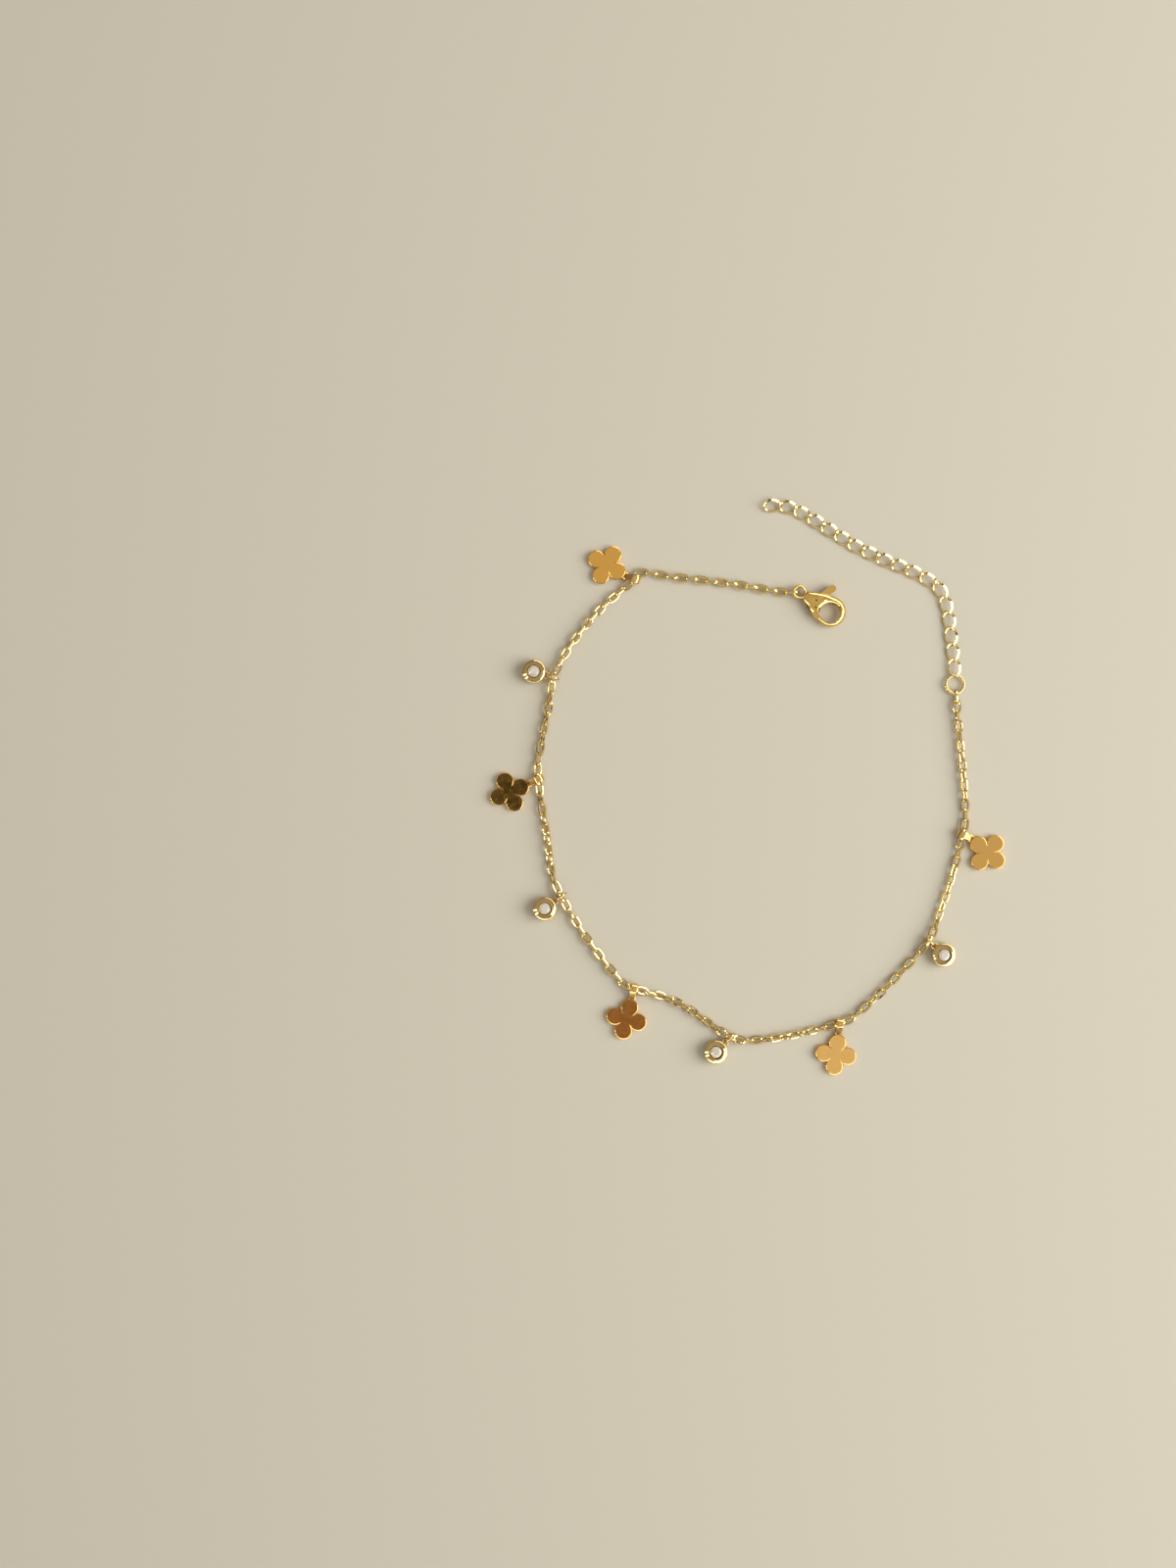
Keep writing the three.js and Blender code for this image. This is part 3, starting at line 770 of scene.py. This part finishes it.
class ANKLET_OT_drops(bpy.types.Operator):
    """Round bezels with a seat for the stone and a wire ear"""
    bl_idname = "anklet.drops"
    bl_label = "Drop bezels"

    # The outside from the foot to the crest, as shares of the outer radius and of the height
    OUTSIDE = [(0.76, 0.012), (0.87, 0.06), (0.95, 0.15), (0.99, 0.3), (1.0, 0.48), (1.0, 0.62),
               (0.992, 0.735), (0.975, 0.81), (0.95, 0.852), (0.925, 0.872), (0.9, 0.885),
               (0.79, 0.935), (0.68, 0.98), (0.65, 0.993)]
    # From the crest to the seat: how far in and down, and the room round the stone, in millimetres
    LIP, WALL, PLAY = (0.04, 0.06), 0.4, 0.06

    def execute(self, context):
        drop = context.scene.anklet_drop
        hang(self.model(drop), "drop_bezel", drop_middles(drop), 40, plating("bezel"),
             "drop")
        return {"FINISHED"}

    def model(self, drop):
        """A disc drawn up through the outside, over the crest and down to the seat, and its ear."""
        radius, height = drop.foot, 0
        circle(64, radius)
        bezel = shape("bezel_model")
        choose("FACE")
        profile = [(share * drop.radius, rise * drop.height) for share, rise in self.OUTSIDE]
        profile += [(drop.crest, drop.height),
                    (drop.crest - self.LIP[0] * MM, drop.height - self.LIP[1] * MM),
                    (drop.seat, drop.height - self.WALL * MM),
                    (drop.stone + self.PLAY * MM, drop.floor)]
        for next_radius, next_height in profile:
            extrude((0, 0, next_height - height))
            scale((next_radius / radius, next_radius / radius, 1), (0, 0, next_height))
            radius, height = next_radius, next_height
        face_outwards()
        ear_at = -(drop.reach - drop.ear_reach - drop.ear_radius)
        torus(28, 10, drop.ear_radius, drop.ear_wire, (ear_at, 0, drop.ear_lift))
        return only(bezel)


class ANKLET_OT_crystals(bpy.types.Operator):
    """Brilliant-cut stones in the drops"""
    bl_idname = "anklet.crystals"
    bl_label = "Crystals"

    # Circles of facet corners: radius as a share of the girdle's, height in millimetres, number of
    # corners, and how much of a corner's step the circle is turned
    CIRCLES = [(0.56, 2.2, 8, 0.0), (0.80, 2.105, 8, 0.5), (1.0, 1.975, 16, 0.0),
               (1.0, 1.935, 16, 0.0), (0.47, 1.68, 8, 0.5), (0.03, 1.5, 6, 0.0)]
    SPIN = 37                           # how far each stone is turned from the last, in degrees

    def execute(self, context):
        drop = context.scene.anklet_drop
        stone = None
        for share, height, corners, part in self.CIRCLES:
            turn = part * 2 * math.pi / corners
            circle(corners, share * drop.stone, (0, 0, height * MM), (0, 0, turn), "NOTHING")
            stone = stone or shape("stone_model")
        choose("VERT")
        bpy.ops.mesh.convex_hull(use_existing_faces=False, join_triangles=True,
                                 face_threshold=math.radians(2), shape_threshold=math.radians(60))
        bpy.ops.mesh.normals_make_consistent(inside=False)
        only(stone)
        places = [middle @ Matrix.Rotation(math.radians(self.SPIN * number), 4, "Z")
                  for number, middle in enumerate(drop_middles(drop), 1)]
        hang(stone, "crystal", places, None, crystal_finish(), "drop_stone")
        return {"FINISHED"}


class ANKLET_OT_clasp_body(bpy.types.Operator):
    """Lobster clasp's cast body with its eye, hook, slot and bore"""
    bl_idname = "anklet.clasp_body"
    bl_label = "Clasp body"

    # All in millimetres from the hook's middle
    # Sections from the neck to the hook's far side: place, half width and half height
    SECTIONS = [(-5.35, 0.50, 0.42), (-5.1, 0.72, 0.52), (-4.8, 0.92, 0.62), (-4.45, 1.12, 0.73),
                (-4.1, 1.32, 0.82), (-3.7, 1.53, 0.91), (-3.3, 1.72, 0.98), (-2.9, 1.90, 1.03),
                (-2.5, 2.05, 1.06), (-2.1, 2.18, 1.08), (-1.7, 2.28, 1.09), (-1.3, 2.35, 1.1),
                (-0.9, 2.41, 1.1)]
    BOXINESS = 2.4                      # how square the sections are: 2 is an ellipse
    HOOK, HOOK_HALF = 2.55, 1.1         # radius of the hook's outline, and half its thickness
    HOOK_TURN, HOOK_STEPS = 104, 18     # where its sections start, in degrees, and their steps
    HOLE, HOLE_DEPTH = (0.02, -0.3, 1.75), 1.3      # middle and radius of the hook's hole
    FLARE = (-0.27, 0.18, 0.42, 0.5)    # how far the rim moves along and across, widens and rises
    DIMPLE = (-3.2, -0.15, 4.62, 2.6)   # middle and radius of the ball that pressed the dimple
    SLOT = [(-4.15, -3.2), (-1.05, -1), (-1.05, 3.2), (-4.15, 3.2)]
    GATEWAY = [(-0.9, -0.64), (-3.9, -2.78), (-2.2, -3.4), (-1.62, -2.42), (-0.3, -1.72), (0, -1)]

    def execute(self, context):
        clasp = context.scene.anklet_clasp
        middle = clasp.thickness / 2
        body = self.blank(middle)
        boolean(body, self.hole_cutter(middle))
        boolean(body, plate("slot_cutter", self.SLOT, middle - clasp.slot / 2, clasp.slot))
        boolean(body, plate("gateway_cutter", self.GATEWAY, -MM, THROUGH))
        *place, radius = mm(*self.DIMPLE)
        bpy.ops.mesh.primitive_uv_sphere_add(segments=64, ring_count=96, radius=radius,
                                             location=place, rotation=(math.pi / 2, 0, 0))
        boolean(body, bpy.context.object)
        eye_middle = (-clasp.eye_from_hook, 0, middle)
        torus(48, 16, clasp.eye_radius, clasp.eye_wire, eye_middle)
        eye = shape("eye_model")
        choose("VERT")
        scale((1, 1, clasp.eye_thick / clasp.eye_wire), (0, 0, middle))
        only(eye)
        boolean(body, eye, "UNION")
        # The bore clears the body's neck out of the eye
        bore = clasp.eye_radius - clasp.eye_wire / 2 + 0.01 * MM
        boolean(body, cylinder(48, bore, THROUGH, eye_middle))
        bevel(body, 0.035, 45)
        body.name = body.data.name = "clasp_shell"
        settle(body, clasp_place(clasp))
        smooth(body, 40)
        finished(body, plating("clasp"), "anklet", "clasp_body")
        return {"FINISHED"}

    def blank(self, middle):
        """The solid teardrop: one boxy section carried along and widened from place to place."""
        start, wide, high = mm(*self.SECTIONS[0])

        def boxed(corner):
            y, z = corner.y / MM, (corner.z - middle) / MM
            boxy = (abs(y) ** self.BOXINESS + abs(z) ** self.BOXINESS) ** (-1 / self.BOXINESS)
            return start, y * boxy * wide, middle + z * boxy * high

        circle(56, MM, (start, 0, middle), (0, math.pi / 2, 0))
        body = shape("clasp_blank")
        move_corners(body, boxed)
        choose("FACE")
        for section in [*self.SECTIONS[1:], *self.hook_sections()]:
            along, half_width, half_height = mm(*section)
            extrude((along - start, 0, 0))
            scale((1, half_width / wide, half_height / high), (along, 0, middle))
            start, wide, high = along, half_width, half_height
        face_outwards()
        return only(body)

    def hook_sections(self):
        """Sections round the hook's far side, which grow thinner towards its outline."""
        for step in range(1, self.HOOK_STEPS):
            turn = math.radians(self.HOOK_TURN * (1 - step / self.HOOK_STEPS))
            along = self.HOOK * math.cos(turn)
            share = max(along, 0) / self.HOOK
            thinner = (1 - share ** self.BOXINESS) ** (1 / self.BOXINESS)
            yield along, self.HOOK * math.sin(turn), self.HOOK_HALF * thinner

    def hole_cutter(self, middle):
        """The hook's hole, straight through and flared towards the neck side near both faces."""
        x, y, radius = mm(*self.HOLE)
        over, aside, wider, rise = mm(*self.FLARE)
        cylinder(64, radius, self.HOLE_DEPTH * MM, (x, y, middle))
        cutter = shape("hole_cutter")
        for side in (1, -1):
            choose("FACE", lambda p: (p.z - middle) * side > 0.5 * MM)
            extrude((0, 0, side * rise))
            scale((1 + wider / radius, 1 + wider / radius, 1), (x, y, 0))
            bpy.ops.transform.translate(value=(over, aside, 0))
        face_outwards()
        return only(cutter)


class ANKLET_OT_clasp_lever(bpy.types.Operator):
    """Lever with its thumb tab and the gate that closes the hook"""
    bl_idname = "anklet.clasp_lever"
    bl_label = "Clasp lever"

    # The gate's outline, the discs round the rivet and at the tab's end, each with its radius, and
    # half the width of the arm between them, in millimetres from the hook's middle
    GATE = [(-3.35, 0.45), (-3.2, -1.0), (-2.75, -1.86), (-2.1, -2.2), (-1.72, -2.33),
            (-0.62, -1.74), (-1.15, -1.62), (-1.85, -1.25), (-2.1, -0.6), (-2.1, 0.6)]
    HUB, TAB = (*RIVET_PLACE, 0.78), (-1.86, 3.36, 0.65)
    ARM = 0.58

    def execute(self, context):
        clasp = context.scene.anklet_clasp
        middle = clasp.thickness / 2
        low = middle - clasp.lever_thick / 2
        lever = plate("lever_model", self.GATE, low, clasp.lever_thick)
        for disc in (self.HUB, self.TAB):
            *place, radius = mm(*disc)
            tool = cylinder(36, radius, clasp.lever_thick, (*place, middle))
            boolean(lever, tool, "UNION")
        hub, tab = Vector(self.HUB[:2]), Vector(self.TAB[:2])
        arm = tab - hub
        side = Vector((-arm.y, arm.x)).normalized() * self.ARM
        outline = [hub + side, hub - side, tab - side, tab + side]
        boolean(lever, plate("arm_model", outline, low, clasp.lever_thick), "UNION")
        bore = clasp.rivet_radius + clasp.rivet_play
        boolean(lever, cylinder(32, bore, THROUGH, (*mm(*RIVET_PLACE), middle)))
        bevel(lever, 0.06, 50)
        lever.name = lever.data.name = "clasp_thumb_lever"
        settle(lever, clasp_place(clasp))
        smooth(lever, 16)
        finished(lever, plating("clasp"), "clasp_lever", "clasp_lever")
        return {"FINISHED"}


class ANKLET_OT_clasp_rivet(bpy.types.Operator):
    """Rivet that the lever turns on, with rounded heads"""
    bl_idname = "anklet.clasp_rivet"
    bl_label = "Clasp rivet"

    RIM, SUNK = 0.1, 0.02               # width of a head's rim, and how far its middle is sunk

    def execute(self, context):
        clasp = context.scene.anklet_clasp
        middle = clasp.thickness / 2
        cylinder(32, clasp.rivet_radius, clasp.rivet_length, (*mm(*RIVET_PLACE), middle))
        rivet = shape("clasp_rivet")
        for side in (1, -1):
            choose("FACE", lambda p: (p.z - middle) * side > TINY)
            bpy.ops.mesh.inset(thickness=self.RIM * MM, depth=0.0)
            bpy.ops.transform.translate(value=(0, 0, -side * self.SUNK * MM))
        only(rivet)
        bevel(rivet, 0.08, 40, segments=3)
        settle(rivet, clasp_place(clasp))
        smooth(rivet, 40)
        finished(rivet, plating("clasp"), "anklet", "clasp_pin")
        return {"FINISHED"}


# ---------------- stage
class ANKLET_OT_stage(bpy.types.Operator):
    """Floor, lights, boards that the flat plates mirror, and the camera"""
    bl_idname = "anklet.stage"
    bl_label = "Stage"

    # The room's brightness at shares of the way from the horizon upwards
    ROOM = [(0.0, 0.12), (0.5, 0.3), (0.7, 0.5), (0.95, 0.68)]
    # Windows: direction and height in degrees, width and height in metres, and power
    WINDOWS = [(-120, 24, 0.32, 0.1, 0.4), (-88, 24, 0.3, 0.1, 0.4), (-60, 20, 0.26, 0.18, 0.6),
               (-34, 26, 0.28, 0.3, 0.9), (-6, 26, 0.28, 0.3, 1.0), (24, 20, 0.32, 0.18, 1.0),
               (56, 20, 0.32, 0.18, 0.9), (82, 20, 0.2, 0.18, 0.4), (194, 30, 0.07, 0.3, 0.3),
               (214, 30, 0.07, 0.3, 0.3)]
    WINDOW_AWAY = 0.585                 # in metres, as the soft light and the floor are
    SOFT_PLACE, SOFT_SIZE, SOFT_POWER = (0.6, -0.03, 0.5), (0.7, 0.7), 6.8
    FLOOR_SIZE = 6
    # Boards that the flat plates mirror: middle and size in millimetres, and brightness
    BOARD_HEIGHT = 400
    BOARDS = {
        "amber_board": ((-20, 92), (110, 90), (0.72, 0.66, 0.50)),
        "dark_board": ((-54, 0), (90, 64), (0.035, 0.035, 0.030)),
        "brown_board": ((-13, -85), (80, 60), (0.265, 0.150, 0.125)),
        "white_board": ((75, -102), (90, 84), (0.90, 0.93, 1.05)),
        "grey_board": ((120, -10), (90, 90), (0.70, 0.695, 0.72)),
    }
    CAMERA = (-26.71, 0.497, 365.3)     # in millimetres, as the lens and the sensor are
    LENS, SENSOR = 50, 36

    def execute(self, context):
        finish = context.scene.anklet_finish
        self.floor(finish)
        for name, (middle, size, tint) in self.BOARDS.items():
            self.board(name, middle, size, tint)
        for number, (azimuth, height, wide, tall, power) in enumerate(self.WINDOWS, 1):
            place = (Matrix.Rotation(math.radians(azimuth), 3, "Z")
                     @ Matrix.Rotation(math.radians(-height), 3, "Y")
                     @ Vector((self.WINDOW_AWAY, 0, 0)))
            self.light(f"window_{number}", place, (wide, tall), power, finish.light,
                       "visible_diffuse")
        self.light("soft_light", self.SOFT_PLACE, self.SOFT_SIZE, self.SOFT_POWER, finish.light,
                   "visible_glossy")
        self.room(context, finish)
        self.camera(context)
        return {"FINISHED"}

    def floor(self, finish):
        bpy.ops.mesh.primitive_plane_add(size=self.FLOOR_SIZE, location=(0, 0, -0.01 * MM))
        floor = bpy.context.object
        floor.name = "floor"
        paint, _, _, surface = new_finish("pale_floor")
        dial(surface, {"Base Color": (*finish.floor, 1), "Roughness": 0.95,
                       "Specular IOR Level": 0.1})
        floor.data.materials.append(paint)

    def board(self, name, middle, size, tint):
        bpy.ops.mesh.primitive_plane_add(size=1, location=mm(*middle, self.BOARD_HEIGHT))
        board = bpy.context.object
        board.name = name
        board.scale = (*mm(*size), 1)
        paint, nodes, links, _ = new_finish(name + "_paint")
        glow = nodes.new("ShaderNodeEmission")
        dial(glow, {"Color": (*tint, 1)})
        links.new(glow.outputs["Emission"], nodes["Material Output"].inputs["Surface"])
        board.data.materials.append(paint)
        board.visible_camera = False
        board.visible_diffuse = False
        board.visible_shadow = False

    def light(self, name, place, size, power, tint, unseen):
        """A light aimed at the middle; windows are only mirrored, and the soft light never is."""
        bpy.ops.object.light_add(type="AREA", location=place)
        lamp = bpy.context.object
        lamp.name = name
        lamp.data.shape = "RECTANGLE"
        lamp.data.size, lamp.data.size_y = size
        lamp.data.energy = power
        lamp.data.color = tint
        setattr(lamp, unseen, False)
        lamp.rotation_euler = (-Vector(place)).to_track_quat("-Z", "Y").to_euler()

    def room(self, context, finish):
        world = bpy.data.worlds.new("room")
        context.scene.world = world
        world.use_nodes = True
        nodes, links = world.node_tree.nodes, world.node_tree.links
        back = nodes["Background"]
        place = nodes.new("ShaderNodeTexCoord")
        height = nodes.new("ShaderNodeSeparateXYZ")
        ramp = nodes.new("ShaderNodeValToRGB")
        for height_share, _ in self.ROOM[1:-1]:
            ramp.color_ramp.elements.new(height_share)
        for stop, (height_share, brightness) in zip(ramp.color_ramp.elements, self.ROOM):
            stop.position = height_share
            stop.color = (*(brightness * value for value in finish.room), 1)
        links.new(place.outputs["Generated"], height.inputs["Vector"])
        links.new(height.outputs["Z"], ramp.inputs["Fac"])
        links.new(ramp.outputs["Color"], back.inputs["Color"])

    def camera(self, context):
        bpy.ops.object.camera_add(location=mm(*self.CAMERA), rotation=(0, 0, 0))
        camera = bpy.context.object
        camera.name = "camera"
        camera.data.lens = self.LENS
        camera.data.sensor_width = self.SENSOR
        camera.data.clip_start, camera.data.clip_end = 0.01, 20
        context.scene.camera = camera
        context.scene.view_settings.view_transform = "Standard"


class ANKLET_PT_workshop(bpy.types.Panel):
    """Lists the anklet's pieces in the sidebar"""
    bl_label = "Anklet"
    bl_space_type = "VIEW_3D"
    bl_region_type = "UI"
    bl_category = "Anklet"

    def draw(self, context):
        for piece in PIECES:
            self.layout.operator(piece.bl_idname)


PIECES = [ANKLET_OT_cable_links, ANKLET_OT_extender_links, ANKLET_OT_joining_ring,
          ANKLET_OT_hanging_rings, ANKLET_OT_clovers, ANKLET_OT_bails, ANKLET_OT_drops,
          ANKLET_OT_crystals, ANKLET_OT_clasp_body, ANKLET_OT_clasp_lever, ANKLET_OT_clasp_rivet,
          ANKLET_OT_stage]


def register():
    for kind in [*SETTINGS.values(), *PIECES, ANKLET_PT_workshop]:
        bpy.utils.register_class(kind)
    for name, kind in SETTINGS.items():
        setattr(bpy.types.Scene, name, PointerProperty(type=kind))


def unregister():
    for name in SETTINGS:
        delattr(bpy.types.Scene, name)
    for kind in [ANKLET_PT_workshop, *reversed(PIECES), *SETTINGS.values()]:
        bpy.utils.unregister_class(kind)


def main():
    register()
    for piece in PIECES:
        only()
        group, name = piece.bl_idname.split(".")
        getattr(getattr(bpy.ops, group), name)()


if __name__ == "__main__":
    main()
